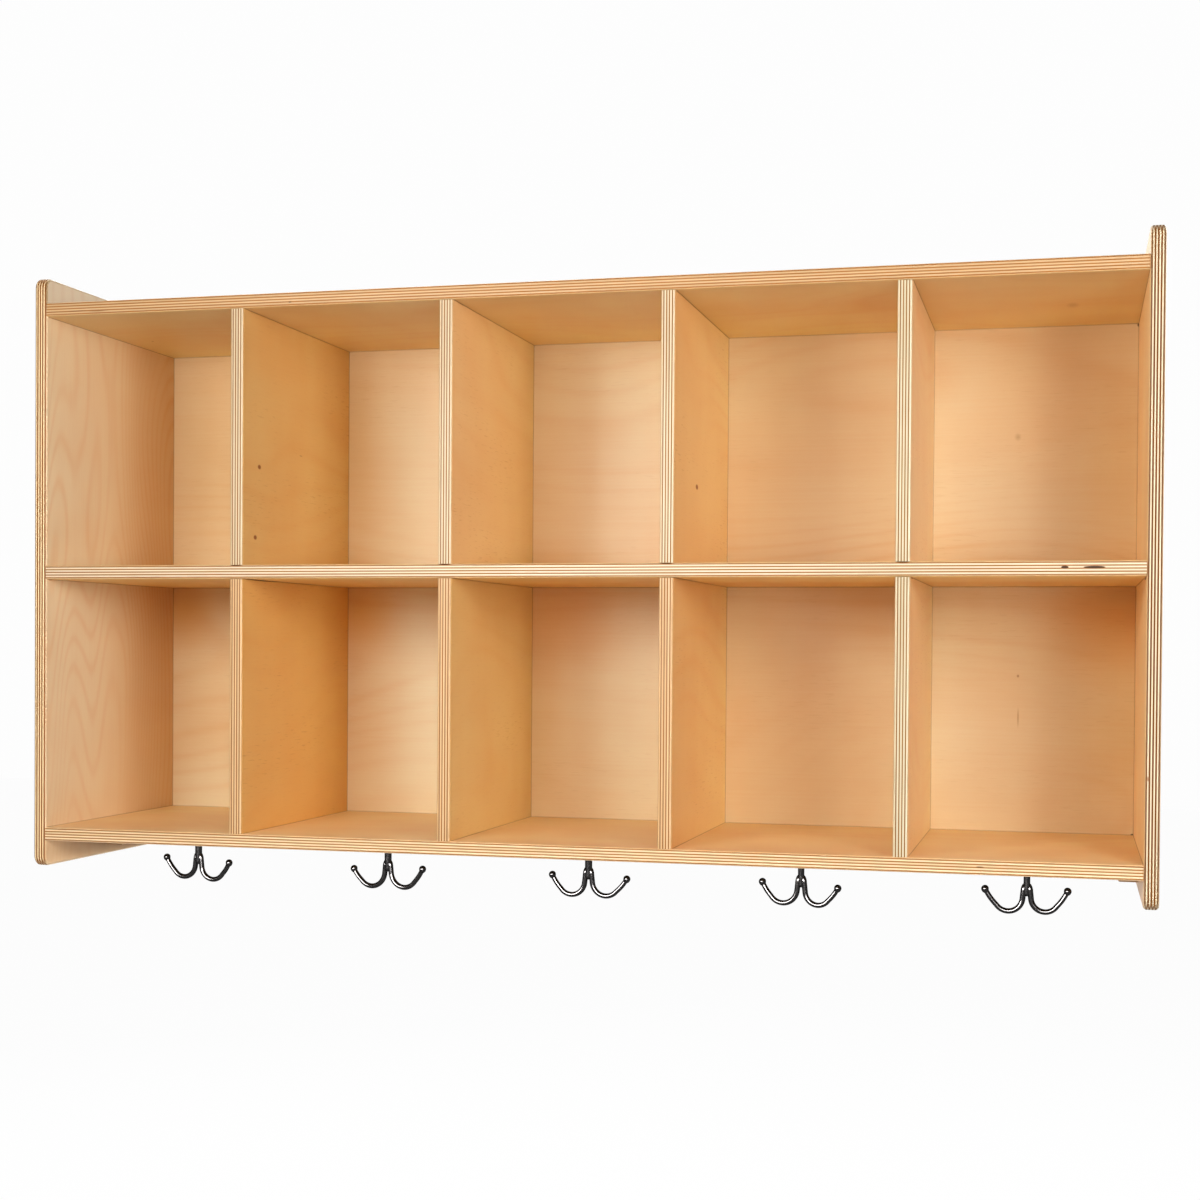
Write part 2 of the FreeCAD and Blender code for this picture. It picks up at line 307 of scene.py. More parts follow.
@dataclass(frozen=True)
class Mark:
    """A spot on the wood, such as a pin knot or a dark streak, painted shade in a gap, or a broad area of
    painted light and shade.

    Attributes:
        centre: its middle, in metres.
        reach: its half size along each axis.
        strength: how far it hides the wood.
        soft: share of its reach over which it fades.
        colour: its colour, or its tone where it only tones the wood.
        mark_mode: how it changes the wood.
    """

    centre: Triple
    reach: Triple
    strength: float = 0.9
    soft: float = 0.5
    colour: Colour = seen(70, 38, 18)
    mark_mode: MarkMode = MarkMode.COVERS


Marks = tuple[Mark, ...]


class PaintedTone(Enum):
    """Broad changes of tone, channel by channel, that paint light and shade onto the wood."""

    # Darker tones are painted shade and paler ones painted light; the last one is a painted shadow under the
    # bottom shelf.
    WARM_SHADE = (0.92, 0.84, 0.68, 1.0)
    DEEP_SHADE = (0.98, 0.66, 0.30, 1.0)
    PALE_LIGHT = (1.02, 1.18, 1.36, 1.0)
    CREAM_LIGHT = (1.10, 1.36, 1.68, 1.0)
    DULL_SHADE = (0.90, 0.92, 0.98, 1.0)
    SHADED = (0.50, 0.50, 0.42, 1.0)
    SHELF_SHADOW = (0.30, 0.22, 0.14, 1.0)


def painted_light_tone(centre: Triple, reach: Triple, tone: PaintedTone, strength: float, soft: float) -> Mark:
    """Makes a mark that only tones the wood, to paint light and shade on it, with the measures of a mark."""
    return Mark(centre, reach, strength, soft, tone.value, MarkMode.TONES)


def painted_light_patch(
    place: tuple[float, float], reach: tuple[float, float], tone: PaintedTone, strength: float = 0.85
) -> Mark:
    """Makes a broad soft area of painted light and shade on the front of the back panel, by its place and
    half size across and up.
    """
    return painted_light_tone((place[0], BACK_FACE, place[1]), (reach[0], -BACK_FACE, reach[1]), tone, strength, 1.0)


@dataclass(frozen=True)
class Board:
    """One board of the case and how its colours differ from the rest, with painted light and shade from front
    to back.

    Attributes:
        node: the CAD node.
        lay: how it lies.
        cut: the drawing of its faces.
        tint: tone of its faces at the front, channel by channel, partly painted light and shade.
        rear_painted_light: tone of its faces against the back panel, where it isn't the same; the change to
            it with depth is painted light and shade.
        edge: middle colour of the plies that run along its front edge.
        end: middle colour of the plies that show end grain there.
        cross: share of the thickness that the crosswise plies take.
        marks: spots on it, some of them painted light and shade.
    """

    node: str
    lay: Lay
    cut: Cut
    tint: Triple = (1.0, 1.0, 1.0)
    rear_painted_light: Optional[Triple] = None
    edge: Colour = seen(222, 192, 150)
    end: Colour = seen(180, 138, 95)
    cross: float = 0.5
    marks: Marks = ()


@dataclass(frozen=True)
class BirchPlywood:
    """Lacquered birch plywood: figured faces, and edges with a light and a dark ply in turn.

    Attributes:
        ply: thickness of an inner ply, in metres; the outer ones are half of it.
        face_light: pale wood of the faces.
        face_dark: darker wood of the growth rings.
        fleck: colour of the short flecks.
        palest: tone of the palest stretch of a ply on an edge.
        darkest: tone of the darkest stretch.
        joint_shade: colour of the thin dark line where two boards meet in an inner corner: a dark seam, with
            painted shade of the corner.
        joint_shade_width: width of that line on each board.
        joint_shade_strength: how far the line hides the wood.
        half_board: half the thickness of an outer board.
        seed_step: how far the figure moves from one board to the next, along each of its axes.
        relief_height: height of the relief.
    """

    ply: float = 0.0015
    face_light: Colour = seen(236, 207, 164)
    face_dark: Colour = seen(222, 160, 106)
    fleck: Colour = seen(176, 112, 62)
    palest: Triple = (1.15, 1.18, 1.22)
    darkest: Triple = (0.82, 0.76, 0.68)
    joint_shade: Colour = seen(112, 62, 28)
    joint_shade_width: float = 0.0008
    joint_shade_strength: float = 0.45
    half_board: float = 0.0075
    seed_step: Triple = (3.71, 1.93, 0.77)
    relief_height: float = 0.0001

    def material(self, board: Board, seed: float) -> bpy.types.Material:
        """Makes the wood of one board, worked out in the board's own axes.

        Args:
            board: the board.
            seed: shifts the figure, so that no two boards look alike.

        Returns:
            The material.
        """
        graph = ShaderGraph.of_material(f"birch_{board.node}")
        place, normal = self._board_axes(graph, board)
        shifted = graph.vector("ADD", place, tuple(seed * step for step in self.seed_step))
        toward = [graph.math("ABSOLUTE", part) for part in graph.split(normal)]
        fibre = graph.noise(shifted, (7.0, 420.0, 60.0), 3.0, 0.6)
        speck = graph.noise(shifted, (520.0, 520.0, 520.0), 2.0, 0.6)

        face = self._face(graph, board, shifted, fibre)
        wood, end_share, glue = self._edge(graph, board, place, toward, face, speck, seed)
        # Thin dark line in the inner corners: a dark seam with painted corner shade.
        joint_shade = self._joint_shade_share(graph)
        wood = graph.blend(joint_shade, wood, self.joint_shade)
        # Knots and streaks, painted shade in gaps, and broad areas of painted light and shade.
        for mark in board.marks:
            wood = graph.blend(self._mark_share(graph, mark), wood, mark.colour, mark.mark_mode.value)

        rougher, sunk = graph.math("MULTIPLY", end_share, 0.14), graph.math("MULTIPLY", glue, -0.5)
        roughness = graph.fold("ADD", 0.42, graph.centred(fibre, 0.14), rougher)
        relief = graph.fold("ADD", 0.5, graph.centred(fibre, 0.35), graph.centred(speck, 0.25), sunk)
        sheen = graph.math("MULTIPLY_ADD", end_share, -0.2, 0.25)
        graph.surface(
            wood, roughness, relief, self.relief_height,
            Coat_Weight=0.05, Coat_Roughness=0.22, Specular_IOR_Level=sheen,
        )
        return graph.owner

    def _face(
        self, graph: ShaderGraph, board: Board, shifted: Socket, fibre: Socket
    ) -> Socket:
        """Draws a face: rings bent by a slow field, clouds, a trace of fibre, and short flecks in areas.

        Inside the case the tone goes from the board's front tint to its tint at the back panel with the
        depth, as painted light and shade. Outside it is plain.

        Args:
            graph: the material's nodes.
            board: the board.
            shifted: place in the board's axes with the seed's shift.
            fibre: fine streaks along the grain.

        Returns:
            The colour.
        """
        figure = board.cut.value
        # Painted light and shade: the tone moves from the front tint to the back one with the depth into the
        # case.
        inward = graph.math("SUBTRACT", graph.split(graph.coords["Object"])[1], FRONT)
        inward = graph.math("DIVIDE", inward, BACK_FACE - FRONT)
        outside = self._outside_share(graph)
        rear_painted_light = board.rear_painted_light or board.tint
        light, dark, fleck = (
            graph.blend(outside, graph.blend(inward, scaled(wood, board.tint), scaled(wood, rear_painted_light)), wood)
            for wood in (self.face_light, self.face_dark, self.fleck)
        )
        bend = graph.centred(graph.noise(shifted, (*figure.bends, 1.0), 1.2, 0.4), figure.sway)
        turns = graph.math("MULTIPLY_ADD", graph.split(shifted)[1], figure.rings, bend)
        ring = graph.math("SINE", graph.math("MULTIPLY", turns, 2 * math.pi))
        ring = graph.math("POWER", graph.math("MULTIPLY_ADD", ring, 0.5, 0.5), 3.0)
        fade = graph.step(graph.noise(shifted, (1.6, 5.0, 1.0), 1.0), 0.36, 0.66, 0.15, 1.0)
        rings = graph.fold("MULTIPLY", ring, fade, -figure.depth)
        cloud = graph.centred(graph.noise(shifted, (3.4, 7.0, 2.0), 2.5, 0.55), figure.cloud)
        ripple = graph.centred(graph.noise(shifted, (22.0, 7.0, 3.0), 1.0), figure.cloud * 0.3)
        tone = graph.fold("ADD", 0.72, rings, cloud, ripple, graph.centred(fibre, 0.22))
        face = graph.blend(tone, dark, light)
        area = graph.step(graph.noise(shifted, (6.0, 11.0, 3.0), 1.0), 0.46, 0.66, 0.25, 1.0)
        flecks = graph.step(graph.noise(shifted, (55.0, 620.0, 200.0), 1.0), 0.60, 0.74)
        share = graph.fold("MULTIPLY", flecks, area, figure.flecks)
        return graph.blend(share, face, fleck)

    def _edge(
        self,
        graph: ShaderGraph,
        board: Board,
        place: Socket,
        toward: Sequence[Socket],
        face: Socket,
        speck: Socket,
        seed: float,
    ) -> tuple[Socket, Socket, Socket]:
        """Draws the plies on the edges: pale where a ply runs along the edge, dark where its end grain shows.

        Args:
            graph: the material's nodes.
            board: the board.
            place: place in the board's axes.
            toward: size of each part of the normal in those axes.
            face: colour of the faces.
            speck: fine speckle.
            seed: the board's number.

        Returns:
            The colour of the whole board, the share of end grain, and the share of glue line.
        """
        along, across, through = graph.split(place)
        pair = graph.math("DIVIDE", graph.math("ADD", through, self.ply / 2), 2 * self.ply)
        inside = graph.math("FRACT", pair)
        from_cross = graph.gap(inside, 0.75)
        wrapped = graph.math("MINIMUM", from_cross, graph.math("SUBTRACT", 1.0, from_cross))
        odd = graph.step(wrapped, board.cross / 2 - 0.03, board.cross / 2 + 0.03, 1.0, 0.0)
        index = graph.math("FLOOR", graph.math("MULTIPLY", pair, 2.0))
        lot = graph.math("ADD", index, seed * 31.7)
        tone = graph.add("ShaderNodeTexWhiteNoise", {"W": lot}, noise_dimensions="1D")
        run = graph.add("ShaderNodeCombineXYZ", dict(enumerate((along, across, index))))
        streak = graph.centred(graph.noise(run.outputs[0], (7.0, 7.0, 5.3), 3.0, 0.6), 1.3)
        varied = graph.math("ADD", streak, graph.centred(tone.outputs["Value"], 0.45))
        on_edge = graph.step(toward[2], 0.55, 0.95, 1.0, 0.0)
        grain_out = graph.math(
            "ADD",
            graph.math("MULTIPLY", toward[0], graph.math("SUBTRACT", 1.0, odd)),
            graph.math("MULTIPLY", toward[1], odd),
        )
        end_share = graph.step(grain_out, 0.25, 0.9)
        end_tone = graph.fold("ADD", 0.5, varied, graph.centred(speck, 0.5))
        end_wood, long_edge = (
            graph.blend(share, scaled(colour, self.darkest), scaled(colour, self.palest))
            for share, colour in ((end_tone, board.end), (graph.math("ADD", varied, 0.5), board.edge))
        )
        wood = graph.blend(on_edge, face, long_edge)
        wood = graph.blend(end_share, wood, end_wood)
        from_seam = graph.gap(wrapped, board.cross / 2)
        glue = graph.math("MULTIPLY", graph.step(from_seam, 0.0, 0.06, 0.3, 0.0), on_edge)
        return graph.blend(glue, wood, scaled(board.end, self.darkest)), end_share, glue

    def _board_axes(
        self, graph: ShaderGraph, board: Board
    ) -> tuple[Socket, Socket]:
        """Turns object coordinates and normals into the board's axes.

        Args:
            graph: the material's nodes.
            board: the board.

        Returns:
            The place, measured from the middle of the board and from its first face, and the normal.
        """
        turn = Matrix(board.lay.value)
        corners = [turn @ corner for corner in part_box(board.node)]
        low = [min(pair) for pair in zip(*corners)]
        high = [max(pair) for pair in zip(*corners)]
        shift = (-(low[0] + high[0]) / 2, -(low[1] + high[1]) / 2, -low[2])
        feeds = {"Vector": graph.coords["Object"], "Rotation": turn.to_euler(), "Location": shift}
        place = graph.add("ShaderNodeMapping", feeds, vector_type="POINT")
        feeds = {"Vector": graph.coords["Normal"], "Rotation": turn.to_euler()}
        normal = graph.add("ShaderNodeMapping", feeds, vector_type="VECTOR")
        return place.outputs[0], normal.outputs[0]

    def _joint_shade_share(self, graph: ShaderGraph) -> Socket:
        """Draws the thin dark line in every inner corner of the bays: a dark seam, with painted shade of the
        corner.

        The distance to the nearest bay face is taken along each axis, apart from the one that the surface
        faces, and the line shows where the least of them is under its width, inside the case only.

        Args:
            graph: the material's nodes.

        Returns:
            How strongly the line shows.
        """
        x, y, z = graph.split(graph.coords["Object"])
        facing = [graph.math("ABSOLUTE", part) for part in graph.split(graph.coords["Normal"])]
        height = graph.math("ABSOLUTE", z)
        along_bay = graph.math("FLOORED_MODULO", graph.math("SUBTRACT", x, LEFT_FACE), BAY_PITCH)
        last = graph.math("SUBTRACT", BAY_PITCH, along_bay)
        gaps = (
            graph.fold("MINIMUM", along_bay, last, graph.gap(along_bay, BAY_WIDTH)),
            graph.gap(y, BACK_FACE),
            graph.math("MINIMUM", graph.gap(height, MIDDLE_TOP), graph.gap(height, TOP_UNDERSIDE)),
        )
        least = graph.fold("MINIMUM", *(graph.math("ADD", gap, face) for gap, face in zip(gaps, facing)))
        line = graph.step(least, self.joint_shade_width * 0.4, self.joint_shade_width, self.joint_shade_strength, 0.0)
        edge = self.joint_shade_width / 2
        front_start, front_full = FRONT + 0.003, FRONT + 0.006
        limits = (
            graph.step(graph.math("ABSOLUTE", x), -LEFT_FACE + edge, -LEFT_FACE + 2 * edge, 1.0, 0.0),
            graph.step(height, TOP_UNDERSIDE + edge, TOP_UNDERSIDE + 2 * edge, 1.0, 0.0),
            graph.step(y, BACK_FACE + edge, BACK_FACE + 2 * edge, 1.0, 0.0),
            graph.step(y, front_start, front_full),
        )
        return graph.fold("MULTIPLY", line, *limits)

    def _outside_share(self, graph: ShaderGraph) -> Socket:
        """Returns 1 on the outside of the case, past the middle of its outer boards, and 0 inside it."""
        x, y, z = graph.split(graph.coords["Object"])
        side, shelf, fade = self.half_board - LEFT_FACE, self.half_board + TOP_UNDERSIDE, 0.001
        past = (
            graph.step(graph.math("ABSOLUTE", x), side, side + fade),
            graph.step(graph.math("ABSOLUTE", z), shelf, shelf + fade),
            graph.step(y, BACK_FACE * 0.6, BACK_FACE * 0.4),
        )
        return graph.fold("MAXIMUM", *past)

    def _mark_share(self, graph: ShaderGraph, mark: Mark) -> Socket:
        """Returns how strongly a mark shows: full inside its ellipsoid, fading to nothing at its reach."""
        away = graph.vector("SUBTRACT", graph.coords["Object"], mark.centre)
        distance = graph.vector("LENGTH", graph.vector("DIVIDE", away, mark.reach))
        return graph.step(distance, 1.0 - mark.soft, 1.0, mark.strength, 0.0)


@dataclass(frozen=True)
class TurnedBirch:
    """Plain birch of the plugs and dowels: pale fibres with a slight speckle.

    Attributes:
        light: pale fibres.
        dark: darker fibres.
        stretch: features per metre along each axis, low along the grain.
    """

    light: Colour = seen(232, 196, 148)
    dark: Colour = seen(204, 156, 104)
    stretch: Triple = (420.0, 420.0, 40.0)

    def material(self, name: str) -> bpy.types.Material:
        """Returns the material under a name."""
        graph = ShaderGraph.of_material(name)
        place = graph.coords["Object"]
        fibre = graph.noise(place, self.stretch, 3.0, 0.6)
        cloud = graph.noise(place, (45.0, 45.0, 45.0), 1.0)
        tone = graph.fold("ADD", 0.5, graph.centred(fibre, 1.2), graph.centred(cloud, 1.2))
        colour = graph.blend(tone, self.dark, self.light)
        roughness = graph.math("ADD", graph.centred(fibre, 0.2), 0.45)
        graph.surface(colour, roughness, fibre, 0.0001, Coat_Weight=0.1, Coat_Roughness=0.25)
        return graph.owner


@dataclass(frozen=True)
class PlatedMetal:
    """Plated steel with faint polishing marks.

    Attributes:
        dark: colour of the plating.
        light: colour where it is rubbed.
        roughness: middle roughness.
        spread: how far the roughness varies.
        rim: tint of the reflection at a glancing angle.
    """

    dark: Colour
    light: Colour
    roughness: float
    spread: float
    rim: Colour = (1.0, 1.0, 1.0, 1.0)

    def material(self, name: str) -> bpy.types.Material:
        """Returns the material under a name."""
        graph = ShaderGraph.of_material(name)
        place = graph.coords["Object"]
        cloud = graph.noise(place, (130.0, 130.0, 130.0), 3.0, 0.6)
        grit = graph.noise(place, (2600.0, 2600.0, 900.0), 2.0)
        share = graph.step(cloud, 0.45, 0.75)
        colour = graph.blend(share, self.dark, self.light)
        uneven = (graph.centred(cloud, self.spread), graph.centred(grit, self.spread / 2))
        roughness = graph.fold("ADD", *uneven, self.roughness)
        graph.surface(colour, roughness, grit, 0.00001, Metallic=1.0, Specular_Tint=self.rim)
        return graph.owner


def closed_grid(points: np.ndarray) -> tuple[np.ndarray, np.ndarray]:
    """Joins a grid of points into quads, closed around its second axis.

    Args:
        points: array of rows by columns by 3.

    Returns:
        The points as a list, and the quads as rows of four indices: each corner, its neighbour in the next
        column, and the same two in the next row.
    """
    rows, columns = points.shape[:2]
    index = np.arange(rows * columns).reshape(rows, columns)
    beside = np.roll(index, -1, axis=1)
    quads = np.stack([index[:-1], beside[:-1], beside[1:], index[1:]], axis=-1)
    return points.reshape(-1, 3), quads.reshape(-1, 4)


def mesh_object(name: str, surfaces: Sequence[np.ndarray]) -> bpy.types.Object:
    """Makes one smooth object out of several closed grids.

    Args:
        name: the object's name.
        surfaces: grids whose first and last rows are poles.

    Returns:
        The object, with its poles merged and its faces outwards.
    """
    points, quads, start = [], [], 0
    for surface in surfaces:
        grid_points, grid_quads = closed_grid(surface)
        points.append(grid_points)
        quads.append(grid_quads + start)
        start += len(grid_points)
    mesh = bpy.data.meshes.new(name)
    mesh.from_pydata(np.concatenate(points).tolist(), [], np.concatenate(quads).tolist())
    shape = bmesh.new()
    shape.from_mesh(mesh)
    bmesh.ops.remove_doubles(shape, verts=shape.verts, dist=1e-7)
    bmesh.ops.recalc_face_normals(shape, faces=shape.faces)
    shape.to_mesh(mesh)
    shape.free()
    mesh.polygons.foreach_set("use_smooth", np.ones(len(mesh.polygons), dtype=bool))
    return placed(name, mesh)


@dataclass(frozen=True)
class Prong:
    """One bent prong of a hook, in metres.

    Attributes:
        bend_drop: depth below the shelf at which the bend begins.
        bend_radius: radius of the bend.
        ball: sideways and downward place of the ball.
    """

    bend_drop: float
    bend_radius: float
    ball: tuple[float, float]


@dataclass
class DoubleHook:
    """A coat hook: a stem below its plate that forks into two bent prongs with ball tips. Lengths in metres.

    Attributes:
        node: the CAD node that it stands for.
        turn: turn about the stem, in degrees.
        left: the left prong.
        right: the right prong, which is never quite the same.
        stem_radius: radius of the stem.
        collar_radius: radius of the foot against the plate.
        collar_height: height of the curve from the foot to the stem.
        stem_end: depth of the stem's round end below the shelf.
        prong_start: sideways and downward place of a prong's shoulder.
        prong_radii: radius of a prong at the shoulder and at the ball.
        shoulder: length of the rounded start of a prong.
        lean: slope of the shank off the vertical, in degrees.
        bow: how far the middle of an arm bends away from the straight line.
        ball_radius: radius of the ball.
    """

    node: str
    turn: float
    left: Prong
    right: Prong
    stem_radius: float = 0.0041
    collar_radius: float = 0.0060
    collar_height: float = 0.0028
    stem_end: float = 0.0355
    prong_start: tuple[float, float] = (0.0034, 0.0325)
    prong_radii: tuple[float, float] = (0.0031, 0.0027)
    shoulder: float = 0.0075
    lean: float = 6.5
    bow: float = 0.0008
    ball_radius: float = 0.0041

    def build(self, finish: bpy.types.Material) -> bpy.types.Object:
        """Makes the hook in place of its CAD node, in the metal given, and returns it."""
        rods = [self._stem(), self._prong(self.left, -1), self._prong(self.right, 1)]
        piece = mesh_object(f"{self.node}_rods", rods)
        piece.data.materials.append(finish)
        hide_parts(self.node)
        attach(piece, "root")
        return piece

    def _set(self, across: np.ndarray, beside: np.ndarray, down: np.ndarray) -> np.ndarray:
        """Turns hook measures into the frame.

        Args:
            across: distance from the stem in the hook's plane.
            beside: distance out of that plane.
            down: depth below the shelf.

        Returns:
            Points in metres.
        """
        low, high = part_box(self.node)
        middle = (low + high) / 2
        cosine, sine = math.cos(math.radians(self.turn)), math.sin(math.radians(self.turn))
        x = middle.x + across * cosine - beside * sine
        y = middle.y + across * sine + beside * cosine
        return np.stack([x, y, np.broadcast_to(BOTTOM_UNDERSIDE - down, x.shape)], axis=-1)

    def _stem(self, around: int = 48, along: int = 40) -> np.ndarray:
        """Turned stem: a disc at the plate, a quarter-round hollow, the shank and a half-ball end.

        Args:
            around: points around it.
            along: points along each stretch.

        Returns:
            The grid of points.
        """
        top = BOTTOM_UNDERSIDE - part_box("hook_plates")[0].z
        quarter = np.linspace(0.0, math.pi / 2, along)
        flare = self.collar_radius - self.stem_radius
        radius = np.concatenate([
            np.zeros(1),
            self.collar_radius - flare * np.sin(quarter),
            self.stem_radius * np.cos(quarter),
        ])
        depth = np.concatenate([
            np.full(1, top),
            top + self.collar_height * (1.0 - np.cos(quarter)),
            self.stem_end + self.stem_radius * np.sin(quarter),
        ])
        angle = np.linspace(0.0, 2 * math.pi, around, endpoint=False)
        across = radius[:, None] * np.cos(angle)
        beside = radius[:, None] * np.sin(angle)
        return self._set(across, beside, depth[:, None])

    def _prong(self, shape: Prong, side: int, around: int = 40, along: int = 150) -> np.ndarray:
        """Bent prong: circles carried along a shank, a round bend and an arm that ends in a ball.

        The centre line is a straight shank, an arc, and the line from the ball's centre that touches the arc,
        which sags by the bow times four times its share times what is left of it. Its radius starts as half
        an egg at the shoulder, tapers along the prong, and swells into the ball as the smooth greater of the
        taper and the ball's own circle. The points lie a little closer together at both ends.

        Args:
            shape: the prong's measures.
            side: -1 for the left prong and 1 for the right one.
            around: points around it.
            along: points along it.

        Returns:
            The grid of points.
        """
        lean = math.radians(self.lean)
        start = np.array(self.prong_start)
        bend = start + (shape.bend_drop - start[1]) * np.array([math.tan(lean), 1.0])
        centre = bend + shape.bend_radius * np.array([math.cos(lean), -math.sin(lean)])
        tip = np.array(shape.ball)
        reach = np.hypot(*(tip - centre))
        leave = math.atan2(centre[1] - tip[1], tip[0] - centre[0]) - math.acos(shape.bend_radius / reach)
        enter = lean - math.pi
        shank = np.hypot(*(bend - start))
        arc = shape.bend_radius * (leave - enter)
        arm = math.sqrt(reach**2 - shape.bend_radius**2)
        whole = shank + arc + arm
        even = np.linspace(0.0, 1.0, along)
        crowded = 0.5 - 0.5 * np.cos(math.pi * even)
        first, last = -self.shoulder, whole + self.ball_radius
        run = first + (last - first) * (0.35 * crowded + 0.65 * even)

        bearing = np.clip(enter + (run - shank) / shape.bend_radius, enter, leave)
        out = np.stack([np.cos(bearing), -np.sin(bearing)], axis=-1)
        forward = np.stack([-np.sin(bearing), -np.cos(bearing)], axis=-1)
        extra = np.minimum(run - shank, 0.0) + np.maximum(run - shank - arc, 0.0)
        line = centre + shape.bend_radius * out + extra[:, None] * forward
        gone = np.clip((run - shank - arc) / arm, 0.0, 1.0)
        line += (4 * self.bow * gone * (1.0 - gone))[:, None] * out

        taper = np.interp(run, [0.0, whole], self.prong_radii)
        before = np.minimum(run, 0.0) / self.shoulder
        egg = self.prong_radii[0] * np.sqrt(np.clip(1.0 - before**2, 0.0, None))
        taper = np.where(run < 0.0, egg, np.where(run > whole, 0.0, taper))
        ball = np.sqrt(np.clip(self.ball_radius**2 - (run - whole) ** 2, 0.0, None))
        sharpness = 8
        radius = (taper**sharpness + ball**sharpness) ** (1 / sharpness)
        radius[[0, -1]] = 0.0

        angle = np.linspace(0.0, 2 * math.pi, around, endpoint=False)
        swing = radius[:, None] * np.cos(angle)
        across = side * (line[:, :1] + out[:, :1] * swing)
        down = line[:, 1:] + out[:, 1:] * swing
        return self._set(across, radius[:, None] * np.sin(angle), down)


THIN_STEM = 0.0035

HOOKS: tuple[DoubleHook, ...] = (
    DoubleHook(
        "hook_1", -6.0,
        Prong(0.0415, 0.0155, (0.0440, 0.0330)),
        Prong(0.0430, 0.0155, (0.0420, 0.0360)),
    ),
    DoubleHook(
        "hook_2", -11.0,
        Prong(0.0415, 0.0180, (0.0465, 0.0385)),
        Prong(0.0410, 0.0175, (0.0465, 0.0340)),
    ),
    DoubleHook(
        "hook_3", -3.0,
        Prong(0.0435, 0.0155, (0.0430, 0.0355)),
        Prong(0.0430, 0.0160, (0.0450, 0.0370)),
    ),
    DoubleHook(
        "hook_4", -9.5,
        Prong(0.0425, 0.0165, (0.0445, 0.0350)),
        Prong(0.0445, 0.0145, (0.0415, 0.0375)),
        THIN_STEM,
    ),
    DoubleHook(
        "hook_5", -1.0,
        Prong(0.0420, 0.0150, (0.0435, 0.0325)),
        Prong(0.0420, 0.0145, (0.0420, 0.0320)),
        THIN_STEM,
    ),
)


@dataclass
class Case:
    """The plywood case: its boards keep their CAD shape and get wood of their own.

    Attributes:
        wood: the plywood.
        boards: every board.
    """

    wood: BirchPlywood
    boards: tuple[Board, ...]

    def dress(self) -> None:
        """Gives every board its plywood and every plug and dowel its birch."""
        for seed, board in enumerate(self.boards, 1):
            paint(board.node, self.wood.material(board, float(seed)))
        plug = TurnedBirch().material("birch_plug")
        for node in TURNED_NODES:
            paint(node, plug)


PIN_KNOT = seen(142, 76, 26)
# Near black painted shade inside gaps: voids in the plywood core, open seams and corner gaps.
GAP_SHADE = seen(62, 34, 18)
# Dark brown of the painted shadow in the gap under each upper divider's foot, and of dark streaks on the top
# shelf's edge.
SHADOW_AND_STREAK = seen(86, 48, 22)

FIRST_FACE, THIRD_FACE, LAST_FACE = (UPPER_DIVIDERS[row][1].x for row in (0, 2, 3))

# Painted shadow in the gap under each upper divider's front foot, on the edge of the middle shelf.
DIVIDER_FOOT_SHADOWS: Marks = tuple(
    Mark(((low.x + high.x) / 2, FRONT + 0.0005, low.z), (0.0095, 0.005, 0.0018), 0.95, 0.5, SHADOW_AND_STREAK)
    for low, high in UPPER_DIVIDERS
)
MIDDLE_PAINTED_SHADE: Marks = DIVIDER_FOOT_SHADOWS + (
    Mark((0.5178, FRONT, 0.0012), (0.0040, 0.003, 0.0014), 1.0, 0.2, GAP_SHADE),
    Mark((0.5456, FRONT, 0.0011), (0.0115, 0.003, 0.0013), 1.0, 0.2, GAP_SHADE),
)
TOP_STREAKS_KNOTS_AND_SHADE: Marks = (
    # Dark streaks and pin knots, and painted shade in a void of the core.
    Mark((-0.556, FRONT, 0.2921), (0.016, 0.002, 0.0008), 0.5, 0.8, SHADOW_AND_STREAK),
    Mark((-0.530, FRONT, 0.2910), (0.016, 0.002, 0.0008), 0.5, 0.8, SHADOW_AND_STREAK),
    Mark((-0.2989, FRONT, 0.2917), (0.0024, 0.002, 0.0009), 0.7, 0.5, GAP_SHADE),
    Mark((-0.5584, -0.130, TOP_UNDERSIDE), (0.0018, 0.0026, 0.002), 0.7, 0.6, PIN_KNOT),
    Mark((0.5226, -0.133, TOP_UNDERSIDE), (0.0090, 0.022, 0.002), 0.28, 1.0, PIN_KNOT),
)
BOTTOM_GAP_SHADE: Marks = (
    # Painted shade in a void of the core.
    Mark((0.4395, FRONT, -0.2944), (0.005, 0.002, 0.0008), 0.7, 0.5, GAP_SHADE),
)
LEFT_PAINTED_LIGHT: Marks = (
    # Painted light on the inner face, painted shade on the lip above the top shelf, and a painted shadow
    # under the bottom shelf on the lip below it.
    painted_light_tone((LEFT_FACE, -0.205, 0.000), (0.012, 0.12, 0.600), PaintedTone.PALE_LIGHT, 0.6, 1.0),
    painted_light_tone((LEFT_FACE, -0.150, 0.322), (0.002, 0.40, 0.036), PaintedTone.SHADED, 1.0, 0.3),
    painted_light_tone((LEFT_FACE, 0.000, -0.314), (0.002, 0.40, 0.0265), PaintedTone.SHELF_SHADOW, 1.0, 0.8),
)
RIGHT_KNOT_AND_GAP_SHADE: Marks = (
    # Painted shade in an open gap under the middle shelf, and a pin knot.
    Mark((RIGHT_FACE, -0.275, -0.0090), (0.002, 0.030, 0.0016), 0.8, 0.5, GAP_SHADE),
    Mark((0.5976, FRONT, -0.2035), (0.0012, 0.002, 0.0032), 0.7, 0.6, PIN_KNOT),
)
LOWER_FIRST_GAP_SHADE: Marks = (
    # Painted shade in the open gap above the lower divider.
    Mark((FIRST_FACE, -0.255, -0.0078), (0.003, 0.055, 0.0011), 0.8, 0.5, GAP_SHADE),
)
LOWER_LAST_GAP_SHADE: Marks = (
    # Painted shade in the open gap above the lower divider.
    Mark((LAST_FACE, -0.285, -0.0080), (0.003, 0.012, 0.0012), 0.8, 0.5, GAP_SHADE),
)
